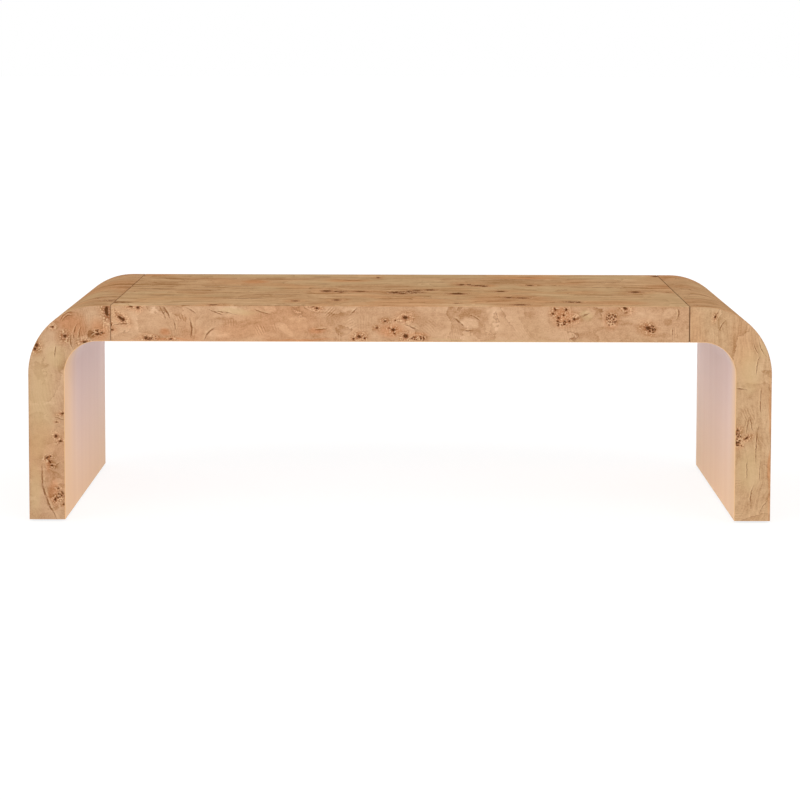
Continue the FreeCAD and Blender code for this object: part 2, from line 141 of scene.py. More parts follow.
class Finish:
    # A node tree being built, with one way to add a node and a few short forms of it.
    def __init__(self, tree):
        self.tree = tree
        self.tree.nodes.clear()

    def add(self, kind, settings=None, inputs=None, output=0):
        node = self.tree.nodes.new("ShaderNode" + kind)
        for name, value in (settings or {}).items():
            if name == "stops":
                self.setStops(node.color_ramp.elements, value)
            else:
                setattr(node, name, value)
        for name, value in (inputs or {}).items():
            if isinstance(value, Wire):
                self.tree.links.new(value.socket, node.inputs[name])
            else:
                node.inputs[name].default_value = value
        return Wire(self, node.outputs[output]) if node.outputs else node

    def setStops(self, elements, stops):
        while len(elements) < len(stops):
            elements.new(1)
        for element, (position, colour) in zip(elements, stops):
            element.position = position
            element.color = colour

    def ramp(self, tone, stops):
        return self.add("ValToRGB", {"stops": stops}, {0: tone})

    def noise(self, place, scale, detail=2.0, roughness=0.5, distortion=0.0):
        return self.add("TexNoise", {"noise_dimensions": "3D"}, {
            "Vector": place, "Scale": scale, "Detail": detail,
            "Roughness": roughness, "Distortion": distortion})

    def cells(self, place, perMetre):
        return self.add("TexVoronoi", {"voronoi_dimensions": "2D"},
                        {"Vector": place, "Scale": perMetre})

    def fade(self, value, start, end, low=0.0, high=1.0):
        # Runs smoothly from low to high as the value goes from start to end.
        return self.add("MapRange", {"interpolation_type": "SMOOTHSTEP"},
                        {0: value, 1: start, 2: end, 3: low, 4: high})

    def zones(self, place, perMetre, detail, *edges):
        # High in zones strewn at random and low between them. The edges are as for fade.
        return self.fade(self.noise(place, perMetre, detail), *edges)

    def blend(self, amount, first, second, mode="MIX"):
        return self.add("Mix", {"data_type": "RGBA", "blend_type": mode},
                        {0: amount, 6: first, 7: second}, output=2)

    def shift(self, place, offset):
        return self.add("VectorMath", {"operation": "ADD"}, {0: place, 1: offset})

    def wander(self, place, scale, reach):
        # Moves a place by up to reach, so that what is drawn there bends.
        drift = self.noise(place, scale).out("Color")
        centred = self.add("VectorMath", {"operation": "SUBTRACT"}, {0: drift, 1: (0.5, 0.5, 0.5)})
        return self.add("VectorMath", {"operation": "MULTIPLY_ADD"},
                        {0: centred, 1: (2 * reach, 2 * reach, 0), 2: place})

    def oval(self, place, x, y, width, height, turn=0):
        # 1 in an oval's middle, falling evenly to 0 at ovalReach times its size.
        local = self.add("Mapping", {"vector_type": "TEXTURE"}, {
            "Vector": place, "Location": (x, y, 0), "Rotation": (0, 0, math.radians(turn)),
            "Scale": (width / 2 * ovalReach, height / 2 * ovalReach, 1)})
        return self.add("TexGradient", {"gradient_type": "SPHERICAL"}, {0: local}, "Fac")

    def nearest(self, place, ovals, found):
        # How far a place is from the nearest oval, with 1 at its rim, or what was found if nearer.
        closest = 0.0
        for oval in ovals:
            closest = self.oval(place, *oval).highest(closest)
        return ((1 - closest) * ovalReach).lowest(found) if ovals else found

    def inside(self, place, oval, outer, inner, amount):
        # The amount inside an oval and 0 outside it, fading between two sizes of it.
        start = 1 - outer / ovalReach
        end = 1 - inner / ovalReach
        return self.fade(self.oval(place, *oval), start, end, 0, amount)

    def grain(self, place, across, along, turn=0, detail=3, roughness=0.6):
        # Noise drawn out along the grain, by how often it varies in a metre across and along it.
        turned = self.add("Mapping", {}, {"Vector": place, "Rotation": (0, 0, -math.radians(turn))})
        drawn = self.add("VectorMath", {"operation": "MULTIPLY"}, {0: turned, 1: (along, across, 1)})
        return self.noise(drawn, 1, detail, roughness)

    def axis(self, place, x, y, turn, length=2.0):
        # How far a place is along a turned axis, where half the length from x, y is 1.
        reach = 2 / length
        across = (math.cos(math.radians(turn)) * reach, math.sin(math.radians(turn)) * reach, 0)
        found = self.add("VectorMath", {"operation": "DOT_PRODUCT"}, {0: place, 1: across}, "Value")
        return found - (x * across[0] + y * across[1])

    def stroke(self, place, x, y, length, turn, bow, width):
        # A bowed line that thins out towards its ends, and another like it close beside it.
        along = self.axis(place, x, y, turn, length)
        room = 1 - along * along
        off = self.axis(place, x, y, turn + 90) - room * bow
        half = room * (width / 2)
        line = self.fade(off.size() - half, width * 0.35, -width * 0.2)
        beside = self.fade((off - width * 1.3).size() - half, width * 0.5, -width * 0.2)
        return line, beside

    def surface(self, look, colour, roughness, height):
        # The shader at the end. The height is in metres when the look's bump is 1.
        normal = self.add("Bump", {}, {"Strength": look["bump"], "Distance": 1.0, "Height": height})
        shader = self.add("BsdfPrincipled", {}, {
            "Base Color": colour, "Roughness": roughness, "Normal": normal,
            "Specular IOR Level": look["shine"], "Metallic": look.get("metallic", 0.0)})
        self.add("OutputMaterial", {}, {"Surface": shader})


def newMaterial(name):
    material = bpy.data.materials.new(name)
    material.use_nodes = True
    return material, Finish(material.node_tree)


def paint(red, green, blue):
    # A colour as it looks on screen, from 0 to 255, in the linear form that shaders use.
    def linear(value):
        value = value / 255
        return value / 12.92 if value <= 0.04045 else ((value + 0.055) / 1.055) ** 2.4
    return (linear(red), linear(green), linear(blue), 1.0)


burl = {
    "tones": [  # from the darkest wood to the palest
        (0.00, paint(128, 82, 46)),
        (0.25, paint(170, 125, 86)),
        (0.50, paint(199, 157, 121)),
        (0.75, paint(216, 176, 140)),
        (1.00, paint(233, 197, 162)),
    ],
    # How much each layer of the figure adds to the tone, from clouds down to specks.
    "cloud": 0.36,
    "swirl": 0.46,
    "mottle": 0.44,
    "speck": 0.46,
    "fibre": 0.20,
    "ripple": 0.085,
    "knotShade": 0.03,  # taken off the tone round knots
    # Noise: how many in a metre, detail, roughness and distortion.
    "cloudNoise": (8, 3, 0.5, 0.3),
    "swirlNoise": (24, 3, 0.5, 0.4),
    "mottleNoise": (120, 3, 0.6),
    "speckNoise": (400, 2, 0.6),
    "flowNoise": (8, 2, 0.45, 0.5),
    "fleckNoise": (340, 1),
    "fibreGrain": (1300, 70),  # how many in a metre, across the grain and along it
    # Bends: how many in a metre, and how far they move what is drawn.
    "bend": (50, 0.0022), "fray": (240, 0.0013), "jag": (75, 0.005),
    "sweep": (5, 0.05), "eddy": (22, 0.010),
    "clusterBend": (24, 0.02), "tintBend": (16, 0.012),
    # Zones: how many in a metre, detail, the noise where they start and where they are full, and
    # their strength outside and inside, where that isn't 0 and 1.
    "contourZones": (10, 1, 0.38, 0.56),
    "lineZones": (17, 1, 0.46, 0.62),
    "rippleZones": (14, 1, 0.58, 0.75, 0, 0.8),
    "grainZones": (9, 1, 0.40, 0.60, 0.35, 1.2),
    "mossZones": (4, 2, 0.52, 0.70, 0, 0.35),
    "blushZones": (6, 2, 0.50, 0.70, 0, 0.55),
    "strokeBreaks": (95, 2, 0.36, 0.55, 0.25, 1),
    # Edges: where a mark starts and where it is full, in its own sizes from its middle, and its
    # strength as for zones.
    "eyeEdge": (1.0, 0.62), "eyeRim": (2.0, 0.95), "aroundEye": (6.0, 0.8),
    "clusterEdge": (1.15, 0.85), "aroundCluster": (2.0, 0.7),
    "rippleEdge": (1.1, 0.6), "patchEdge": (1.15, 0.80),
    "mossEdge": (1.5, 0.3, 0, 0.55), "blushEdge": (1.4, 0.3),
    "haloFull": 1.4,
    "eyeUneven": 0.8,  # how far the mottle moves an edge
    "clusterUneven": 1.6,
    "pipsPerMetre": 240,
    "pipSizes": (0.25, 0.65, 0.12, 0.44),  # two random numbers, and the radii from one to the other
    "pipCore": 0.75,  # in radii of the pip
    "pipRim": 2.2,
    "contours": 7,
    "contourUneven": 0.5,
    "contourPull": 0.7,  # how far knots push the contours out
    "contourLine": (0.91, 0.975),  # the part of a contour that is drawn as a line
    "finePerContour": 3,
    "fineLine": (0.80, 0.97),
    "rippleSpacing": 0.0047,
    "rippleTurn": 15,
    # Flecks: the noise where they start and where they are full.
    "paleFlecks": (0.54, 0.64),
    "darkFlecks": (0.42, 0.34),
    "clusterFlecks": (0.40, 0.60, 0, 0.8),
    "cover": {  # how strongly each covers the wood
        "contour": 0.5, "fineLine": 0.6, "stroke": 0.8, "besideStroke": 0.35, "cluster": 0.8,
        "darkFlecks": 0.6, "pale": 0.7, "rim": 0.5, "eye": 0.88, "blushRoundKnots": 0.6,
    },
    "eyeColour": paint(82, 44, 16),
    "rimColour": paint(150, 88, 54),
    "haloColour": paint(238, 206, 164),
    "lineColour": paint(124, 76, 40),
    "blush": paint(252, 228, 212),  # multiplied in where the wood is redder
    "moss": paint(204, 174, 130),  # mixed in where it is yellower
    "roughness": 0.62,
    "roughMottle": 0.14,
    "roughKnots": 0.2,
    "shine": 0.0,
    "bump": 0.6,
    "pore": 0.00007,  # depth of the open grain
    "pit": 0.00035,  # depth of a knot's middle
    "seamWidth": 0.0011,  # of the dark line at a sheet's end: a glue line with painted shade from the gap
}


def scatter(made, place, perMetre, share, largest):
    # How far a place is from spots strewn at random, with radii up to the largest.
    if not share:
        return farAway
    spots = made.cells(place, perMetre)
    radius = made.fade(spots.out("Color"), 1 - share, 1, largest / 50, largest)
    return spots / perMetre / radius


def burlFinish(name, figure):
    material, made = newMaterial(name)
    sheet = made.add("UVMap", {"uv_map": "sheet"})
    seed = (figure["seed"], figure["seed"] * 0.7, figure["seed"])
    bent = made.wander(sheet, *burl["bend"])
    ragged = made.wander(bent, *burl["fray"])
    here = made.shift(sheet, seed)
    swept = made.wander(made.wander(here, *burl["sweep"]), *burl["eddy"])
    cover = burl["cover"]

    # Knots are single eyes and clusters are patches of pips. Some are listed, some scattered.
    mottle = made.noise(bent, *burl["mottleNoise"])
    toEye = scatter(made, made.shift(ragged, seed), *figure["scatteredEyes"])
    toEye = made.nearest(ragged, figure["eyes"], toEye) + (mottle - 0.5) * burl["eyeUneven"]
    toCluster = scatter(made, made.wander(here, *burl["clusterBend"]), *figure["scatteredClusters"])
    toCluster = toCluster + (mottle - 0.5) * burl["clusterUneven"]
    toCluster = made.nearest(bent, figure["clusters"], toCluster)
    pips = made.cells(ragged, burl["pipsPerMetre"])
    pipSize = made.fade(pips.out("Color"), *burl["pipSizes"])
    inCluster = made.fade(toCluster, *burl["clusterEdge"])
    pip = made.fade(pips, pipSize, pipSize * burl["pipCore"]) * inCluster
    pipRim = made.fade(pips, pipSize * burl["pipRim"], pipSize) * inCluster
    dark = made.fade(toEye, *burl["eyeEdge"]).highest(pip)
    rim = made.fade(toEye, *burl["eyeRim"]).highest(pipRim)
    around = made.fade(toEye, *burl["aroundEye"])
    around = around.highest(made.fade(toCluster, *burl["aroundCluster"]))

    # Growth contours sweep round everything. Each is crisp on one side and soft on the other.
    flow = made.noise(swept, *burl["flowNoise"])
    layer = (flow * burl["contours"] + (mottle - 0.5) * burl["contourUneven"]
             + around * burl["contourPull"]).fraction()
    presence = made.zones(here, *burl["contourZones"]).highest(around * burl["contourPull"])
    line = made.fade(layer, *burl["contourLine"]) * made.zones(here, *burl["lineZones"])
    fineLine = made.fade((layer * burl["finePerContour"]).fraction(), *burl["fineLine"])
    line = line.highest(fineLine * around * cover["fineLine"])

    # Ripples lie across the grain, in listed patches and in scattered ones.
    rippleTurns = 2 * math.pi / burl["rippleSpacing"]
    wave = made.axis(swept, 0, 0, burl["rippleTurn"]) * rippleTurns
    ripple = wave.sine() * made.zones(here, *burl["rippleZones"])
    for x, y, width, height, turn, strength in figure["ripples"]:
        wave = made.axis(ragged, x, y, turn) * rippleTurns
        patch = (x, y, width, height, turn)
        ripple = ripple + wave.sine() * made.inside(ragged, patch, *burl["rippleEdge"], strength)

    cloud = made.noise(swept, *burl["cloudNoise"])
    swirl = made.noise(swept, *burl["swirlNoise"])
    speck = made.noise(ragged, *burl["speckNoise"])
    grain = made.grain(swept, figure["grainAcross"], figure["grainAlong"], figure["grainTurn"])
    streaky = made.zones(here, *burl["grainZones"])
    fibre = made.grain(bent, *burl["fibreGrain"], figure["grainTurn"], 2)
    tone = (figure["tone"]
            + (cloud - 0.5) * burl["cloud"]
            + (swirl - 0.5) * burl["swirl"]
            + (0.5 - layer) * presence * figure["flame"]
            + (mottle - 0.5) * burl["mottle"]
            + (speck - 0.5) * burl["speck"]
            + (grain - 0.5) * streaky * figure["grain"]
            + (fibre - 0.5) * burl["fibre"]
            + ripple * burl["ripple"]
            - around * burl["knotShade"])
    jagged = made.wander(bent, *burl["jag"])
    for *patch, change in figure["patches"]:
        tone = tone + made.inside(jagged, patch, *burl["patchEdge"], change)
    colour = made.blend(1.0, made.ramp(tone, burl["tones"]), figure["tint"], "MULTIPLY")

    # Yellower and redder wood.
    drift = made.wander(sheet, *burl["tintBend"])
    yellow = made.zones(here, *burl["mossZones"])
    if figure["mosses"]:
        toMoss = made.nearest(drift, figure["mosses"], farAway)
        yellow = yellow.highest(made.fade(toMoss, *burl["mossEdge"]))
    colour = made.blend(yellow, colour, burl["moss"])
    blush = made.zones(swept, *burl["blushZones"]).highest(around * cover["blushRoundKnots"])
    if figure["blushes"]:
        toBlush = made.nearest(drift, figure["blushes"], farAway)
        blush = blush.highest(made.fade(toBlush, *burl["blushEdge"]))
    colour = made.blend(blush, colour, burl["blush"], "MULTIPLY")

    # Lines, flecks, knots and the dark line at a seam, a glue line with painted shade from the gap, are
    # drawn over it.
    drawn = line * presence * cover["contour"]
    pale = 0.0
    for numbers in figure["strokes"]:
        stroke, beside = made.stroke(ragged, *numbers)
        drawn = drawn.highest(stroke * cover["stroke"])
        pale = beside.highest(pale)
    broken = made.zones(bent, *burl["strokeBreaks"])
    fleck = made.noise(ragged, *burl["fleckNoise"])
    flecked = made.fade(toEye, figure["halo"], burl["haloFull"])
    flecked = flecked.highest(inCluster * cover["cluster"])
    paleFleck = made.fade(fleck, *burl["paleFlecks"]) * flecked
    pale = paleFleck.highest(broken * pale * cover["besideStroke"])
    pale = pale.highest((inCluster - pipRim) * made.fade(fleck, *burl["clusterFlecks"]))
    drawn = drawn * broken
    darkFleck = made.fade(fleck, *burl["darkFlecks"]) * flecked
    drawn = drawn.highest(darkFleck * cover["darkFlecks"])
    colour = made.blend(pale * cover["pale"], colour, burl["haloColour"])
    colour = made.blend(drawn, colour, burl["lineColour"])
    colour = made.blend(rim * cover["rim"], colour, burl["rimColour"])
    colour = made.blend(dark * cover["eye"], colour, burl["eyeColour"])
    along = made.add("SeparateXYZ", {}, {0: sheet})
    seamWidth = burl["seamWidth"]
    # The dark line at a seam: a glue line, with painted shade of the gap between the sheets.
    for x, strength in figure["seams"]:
        seamGlueAndShade = made.fade((along - x).size(), seamWidth, seamWidth * 0.4, 0, strength)
        colour = made.blend(seamGlueAndShade, colour, burl["eyeColour"])

    roughness = (mottle - 0.5) * burl["roughMottle"] + dark * burl["roughKnots"] + burl["roughness"]
    height = (grain + fibre + speck) * burl["pore"] - dark * burl["pit"]
    made.surface(burl, colour, roughness, height)
    return material


# Each sheet's figure, on the sheet's own map: x and z on the front and back, x and y on the top,
# and distance from the seam and y on a leg's outside. An eye, cluster, moss (yellower wood) or
# blush (redder wood) is an oval: x, y, width, height and, where it is turned, degrees. A ripple
# has its strength as a sixth number, and a patch its change of tone. A stroke is x, y, length,
# turn, bow and width, and a seam is x and how dark its line is: a glue line with painted shade
# from the gap between the sheets. The seed picks the random parts,
# the tint is multiplied in, and the flame is how much the growth contours add to the tone.
commonFigure = {
    "tone": 0.50, "tint": paint(255, 255, 255), "flame": 0.21,
    "grain": 0.30, "grainAcross": 120, "grainAlong": 10, "grainTurn": 0,
    "scatteredEyes": (1, 0, 0),  # how many in a metre, what share, and the largest radius
    "scatteredClusters": (1, 0, 0),
    "halo": 4.8,  # how many times its own size an eye's flecks reach
    "eyes": [], "clusters": [], "ripples": [], "patches": [], "mosses": [], "blushes": [],
    "strokes": [], "seams": [],
}
backFigure = {
    **commonFigure, "tint": paint(255, 252, 242), "flame": 0.17,
    "scatteredEyes": (18, 0.6, 0.0045), "scatteredClusters": (9, 0.55, 0.018),
}
outsideFigure = {
    **commonFigure, "tint": paint(255, 252, 240), "flame": 0.12,
    "grain": 0.95, "grainAcross": 48, "grainAlong": 5,
    "scatteredEyes": (12, 0.6, 0.0055), "scatteredClusters": (7, 0.55, 0.022),
}
beamSeams = [(-beamEndX, 0.15), (beamEndX, 0.45)]
figures = {}
figures["beam_top"] = {
    **commonFigure, "seed": 3.1, "grain": 1.42, "grainAcross": 44, "grainAlong": 5.5,
    "seams": beamSeams, "tone": 0.53, "tint": paint(255, 252, 238), "halo": 2.8,
    "scatteredEyes": (9, 0.3, 0.008), "scatteredClusters": (5.5, 0.3, 0.017),
    "eyes": [
        (-0.147, -0.042, 0.02, 0.033), (-0.128, -0.05, 0.007, 0.021), (-0.118, -0.066, 0.007, 0.021),
        (-0.08, -0.047, 0.027, 0.018), (-0.122, -0.233, 0.013, 0.021), (-0.048, 0.27, 0.007, 0.024),
        (-0.01, -0.075, 0.015, 0.027), (0.004, -0.098, 0.013, 0.018), (0.016, -0.04, 0.01, 0.021),
        (0.032, -0.02, 0.02, 0.021), (0.03, -0.062, 0.013, 0.018), (0.058, -0.013, 0.02, 0.024),
        (0.124, 0.107, 0.013, 0.03), (0.139, 0.112, 0.01, 0.018), (0.158, 0.09, 0.018, 0.018),
        (0.17, 0.07, 0.013, 0.018), (0.112, -0.095, 0.03, 0.033), (0.199, -0.042, 0.02, 0.021),
        (0.21, -0.177, 0.013, 0.018), (0.237, -0.183, 0.022, 0.018), (0.263, 0.095, 0.013, 0.021),
        (0.325, -0.263, 0.013, 0.018), (0.34, -0.268, 0.01, 0.018), (0.466, -0.052, 0.02, 0.027),
        (0.226, -0.323, 0.027, 0.018), (0.538, 0.318, 0.013, 0.024), (-0.201, -0.254, 0.013, 0.018),
        (-0.352, -0.337, 0.018, 0.018),
    ],
    "clusters": [
        (0.01, -0.07, 0.08, 0.06), (-0.118, -0.05, 0.03, 0.04), (0.158, 0.085, 0.04, 0.04),
        (0.33, -0.262, 0.04, 0.03),
    ],
    "blushes": [
        (-0.11, 0.2, 0.11, 0.08), (0.264, 0.27, 0.16, 0.09), (-0.301, 0.168, 0.07, 0.1),
        (0.165, 0.08, 0.07, 0.07), (-0.515, 0.324, 0.08, 0.03),
    ],
    # Painted light: these two wide bands make the top lighter towards its front edge.
    "patches": [(0, -0.37, 4.0, 0.32, 0, 0.06), (0, -0.37, 4.0, 0.15, 0, 0.06)],
    "mosses": [(-0.25, 0.31, 0.4, 0.1), (0.1, 0.31, 0.3, 0.09), (0.43, 0.29, 0.26, 0.1)],
    "strokes": [
        (-0.166, 0.284, 0.046, 0, 0.002, 0.016), (-0.112, 0.205, 0.06, -24, 0.004, 0.012),
        (-0.157, 0.116, 0.02, 0, 0.001, 0.012), (-0.113, 0.094, 0.02, 0, 0.001, 0.012),
        (0.263, 0.295, 0.036, 0, 0.002, 0.014), (0.24, 0.222, 0.11, -8, 0.006, 0.012),
        (-0.485, -0.009, 0.07, 0, 0.004, 0.01), (-0.4, -0.03, 0.09, 0, 0.006, 0.008),
        (-0.53, -0.29, 0.042, 0, 0.001, 0.034), (-0.46, -0.15, 0.08, 0, -0.005, 0.008),
        (-0.36, 0.04, 0.14, 2, 0.008, 0.008), (-0.25, -0.12, 0.11, -2, 0.006, 0.008),
        (-0.3, -0.2, 0.09, 0, -0.006, 0.008), (-0.15, -0.3, 0.08, 1, 0.004, 0.008),
        (0.47, -0.038, 0.1, 0, 0.008, 0.008), (0.4, 0.06, 0.11, -1, -0.006, 0.008),
        (0.44, 0.17, 0.09, 0, 0.005, 0.009), (0.38, -0.16, 0.08, 2, 0.004, 0.007),
        (0.06, 0.16, 0.09, 0, 0.006, 0.008), (0.09, -0.2, 0.1, 0, -0.006, 0.007),
        (-0.235, -0.343, 0.15, 0, 0.002, 0.01), (-0.43, -0.343, 0.11, 0, 0.002, 0.008),
    ],
}
figures["beam_front"] = {
    **commonFigure, "seed": 7.7, "seams": [(-beamEndX, 0.2), (beamEndX, 0.75)],
    "eyes": [
        (-0.525, 0.3872, 0.014, 0.006, -38), (-0.52, 0.3835, 0.006, 0.007),
        (-0.506, 0.4105, 0.009, 0.005), (-0.493, 0.407, 0.006, 0.006), (-0.478, 0.349, 0.008, 0.005),
        (-0.541, 0.3645, 0.006, 0.004), (-0.543, 0.3745, 0.004, 0.006), (-0.1635, 0.4105, 0.007, 0.004),
        (-0.156, 0.406, 0.007, 0.005), (-0.0763, 0.353, 0.009, 0.007), (-0.087, 0.349, 0.004, 0.004),
        (-0.067, 0.35, 0.004, 0.004), (-0.0128, 0.366, 0.008, 0.006), (-0.02, 0.369, 0.004, 0.003),
        (-0.0115, 0.3595, 0.004, 0.003), (-0.0096, 0.3838, 0.005, 0.003),
        (-0.0282, 0.383, 0.006, 0.003), (-0.044, 0.3695, 0.005, 0.003), (0.0096, 0.389, 0.011, 0.007),
        (0.0101, 0.3537, 0.008, 0.009), (0.2914, 0.4053, 0.004, 0.006, 30),
        (0.3121, 0.4053, 0.005, 0.005), (0.2873, 0.3968, 0.005, 0.004), (0.2985, 0.3896, 0.006, 0.005),
        (0.3076, 0.3949, 0.004, 0.004), (0.2969, 0.383, 0.005, 0.004), (0.3093, 0.3825, 0.005, 0.004),
        (0.3177, 0.3837, 0.005, 0.004), (0.3266, 0.3871, 0.007, 0.006),
        (0.4235, 0.4075, 0.009, 0.006, -20), (0.465, 0.3695, 0.01, 0.008, -20),
        (0.4683, 0.364, 0.004, 0.006, 20), (-0.43, 0.348, 0.006, 0.003), (0.3929, 0.3934, 0.004, 0.004),
        (0.3995, 0.3953, 0.003, 0.003), (0.404, 0.3925, 0.003, 0.004), (0.3914, 0.3877, 0.003, 0.004),
        (0.3957, 0.388, 0.003, 0.003), (0.4023, 0.387, 0.003, 0.003), (0.3939, 0.3811, 0.003, 0.003),
        (0.4004, 0.3811, 0.003, 0.003),
    ],
    "clusters": [
        (-0.47, 0.35, 0.026, 0.009), (0.397, 0.386, 0.021, 0.027), (0.304, 0.377, 0.02, 0.01),
        (0.474, 0.368, 0.014, 0.014), (0.034, 0.351, 0.03, 0.009),
    ],
    "ripples": [
        (-0.4435, 0.391, 0.016, 0.018, 60, 1), (-0.412, 0.389, 0.024, 0.016, 20, 1.3),
        (-0.317, 0.378, 0.028, 0.016, 0, 1), (-0.2632, 0.365, 0.024, 0.022, 30, 2),
        (-0.233, 0.371, 0.016, 0.018, 20, 1), (-0.1316, 0.399, 0.022, 0.026, -45, 1.8),
        (-0.09, 0.378, 0.032, 0.02, -60, 1), (0.056, 0.371, 0.04, 0.03, 48, 0.8),
        (-0.115, 0.351, 0.014, 0.02, 5, 1), (0.517, 0.361, 0.014, 0.026, 0, 1.2),
        (-0.525, 0.384, 0.028, 0.024, 80, 1), (0.034, 0.352, 0.034, 0.012, 30, 1.8),
    ],
    "patches": [
        (-0.463, 0.403, 0.022, 0.016, 0, 0.16), (-0.32, 0.404, 0.056, 0.012, -8, 0.16),
        (-0.333, 0.384, 0.05, 0.01, -5, -0.06), (-0.342, 0.357, 0.046, 0.012, 0, 0.14),
        (-0.217, 0.367, 0.044, 0.014, -38, 0.16), (-0.197, 0.386, 0.03, 0.006, -5, 0.13),
        (-0.245, 0.404, 0.022, 0.01, -15, 0.15), (-0.118, 0.386, 0.04, 0.04, 20, -0.1),
        (0.126, 0.398, 0.056, 0.013, 4, -0.07), (0.1, 0.404, 0.02, 0.008, -40, -0.1),
        (0.13, 0.378, 0.036, 0.021, -12, 0.22), (0.078, 0.404, 0.024, 0.012, 0, 0.12),
        (0.177, 0.403, 0.03, 0.012, 8, 0.13), (0.215, 0.376, 0.08, 0.034, 0, 0.05),
        (0.357, 0.398, 0.02, 0.018, 25, 0.14), (0.503, 0.381, 0.017, 0.015, 0, -0.14),
        (0.506, 0.398, 0.022, 0.016, 0, 0.15), (0.345, 0.371, 0.05, 0.016, 12, 0.08),
        (0.455, 0.39, 0.05, 0.02, 10, 0.06), (-0.39, 0.359, 0.014, 0.03, 0, -0.1),
        (-0.08, 0.362, 0.05, 0.012, 0, 0.12), (0.02, 0.375, 0.04, 0.01, -20, 0.08),
        (0.176, 0.381, 0.018, 0.04, 0, 0.14), (0.125, 0.352, 0.08, 0.014, 0, 0.1),
        (-0.423, 0.402, 0.034, 0.014, 0, 0.1), (-0.02, 0.396, 0.05, 0.014, 0, 0.05),
        (-0.3, 0.391, 0.06, 0.016, -10, 0.07), (-0.26, 0.353, 0.05, 0.014, 10, 0.08),
        (0.102, 0.352, 0.03, 0.016, 0, 0.09), (0.168, 0.364, 0.034, 0.024, 0, 0.09),
    ],
    "blushes": [
        (-0.4435, 0.3605, 0.02, 0.016), (-0.156, 0.362, 0.04, 0.012), (-0.197, 0.346, 0.15, 0.006),
        (-0.018, 0.367, 0.055, 0.03), (0.033, 0.351, 0.044, 0.014), (0.305, 0.391, 0.044, 0.04),
        (-0.44, 0.346, 0.12, 0.006),
    ],
    "mosses": [(-0.3, 0.4, 0.07, 0.014), (0.35, 0.395, 0.024, 0.024), (0.2, 0.345, 0.3, 0.006)],
    "strokes": [
        (-0.4465, 0.397, 0.026, -63, 0.001, 0.002), (-0.4394, 0.398, 0.026, -60, 0.001, 0.0024),
        (-0.4258, 0.3755, 0.022, -80, 0.002, 0.002), (-0.3939, 0.369, 0.036, -87, 0.002, 0.0026),
        (-0.3948, 0.4026, 0.024, -29, 0.001, 0.002), (-0.3581, 0.3565, 0.03, 51, 0.004, 0.0024),
        (-0.3469, 0.3993, 0.034, -22, -0.001, 0.0016), (-0.2576, 0.3995, 0.032, -16, -0.001, 0.0018),
        (-0.1504, 0.3661, 0.024, 5, 0.001, 0.0018), (-0.0884, 0.399, 0.02, 49, 0.000, 0.0018),
        (0.0216, 0.3707, 0.027, -24, 0.001, 0.002), (0.03, 0.3505, 0.022, 8, 0.004, 0.0024),
        (0.042, 0.35, 0.014, 80, -0.003, 0.0022), (0.111, 0.38, 0.024, -38, 0.001, 0.0026),
        (0.1278, 0.3662, 0.024, -4, -0.002, 0.0016), (0.14, 0.388, 0.022, -30, 0.002, 0.0016),
        (0.341, 0.3905, 0.03, 24, 0.001, 0.0036), (0.423, 0.403, 0.02, 20, -0.004, 0.0022),
        (0.5205, 0.397, 0.022, 88, -0.003, 0.0022), (0.477, 0.366, 0.014, 50, -0.003, 0.0022),
        (-0.52, 0.375, 0.034, 3, 0.001, 0.0018), (0.5132, 0.36, 0.024, 88, 0.001, 0.0016),
        (0.414, 0.411, 0.048, -1, 0.001, 0.0022), (-0.33, 0.3965, 0.05, -9, 0.002, 0.0014),
    ],
}
figures["beam_back"] = {**backFigure, "seed": 12.3, "seams": beamSeams}
figures["left_leg_outer"] = {**outsideFigure, "seed": 17.9, "seams": [(legStartX - seamX, 0.35)]}
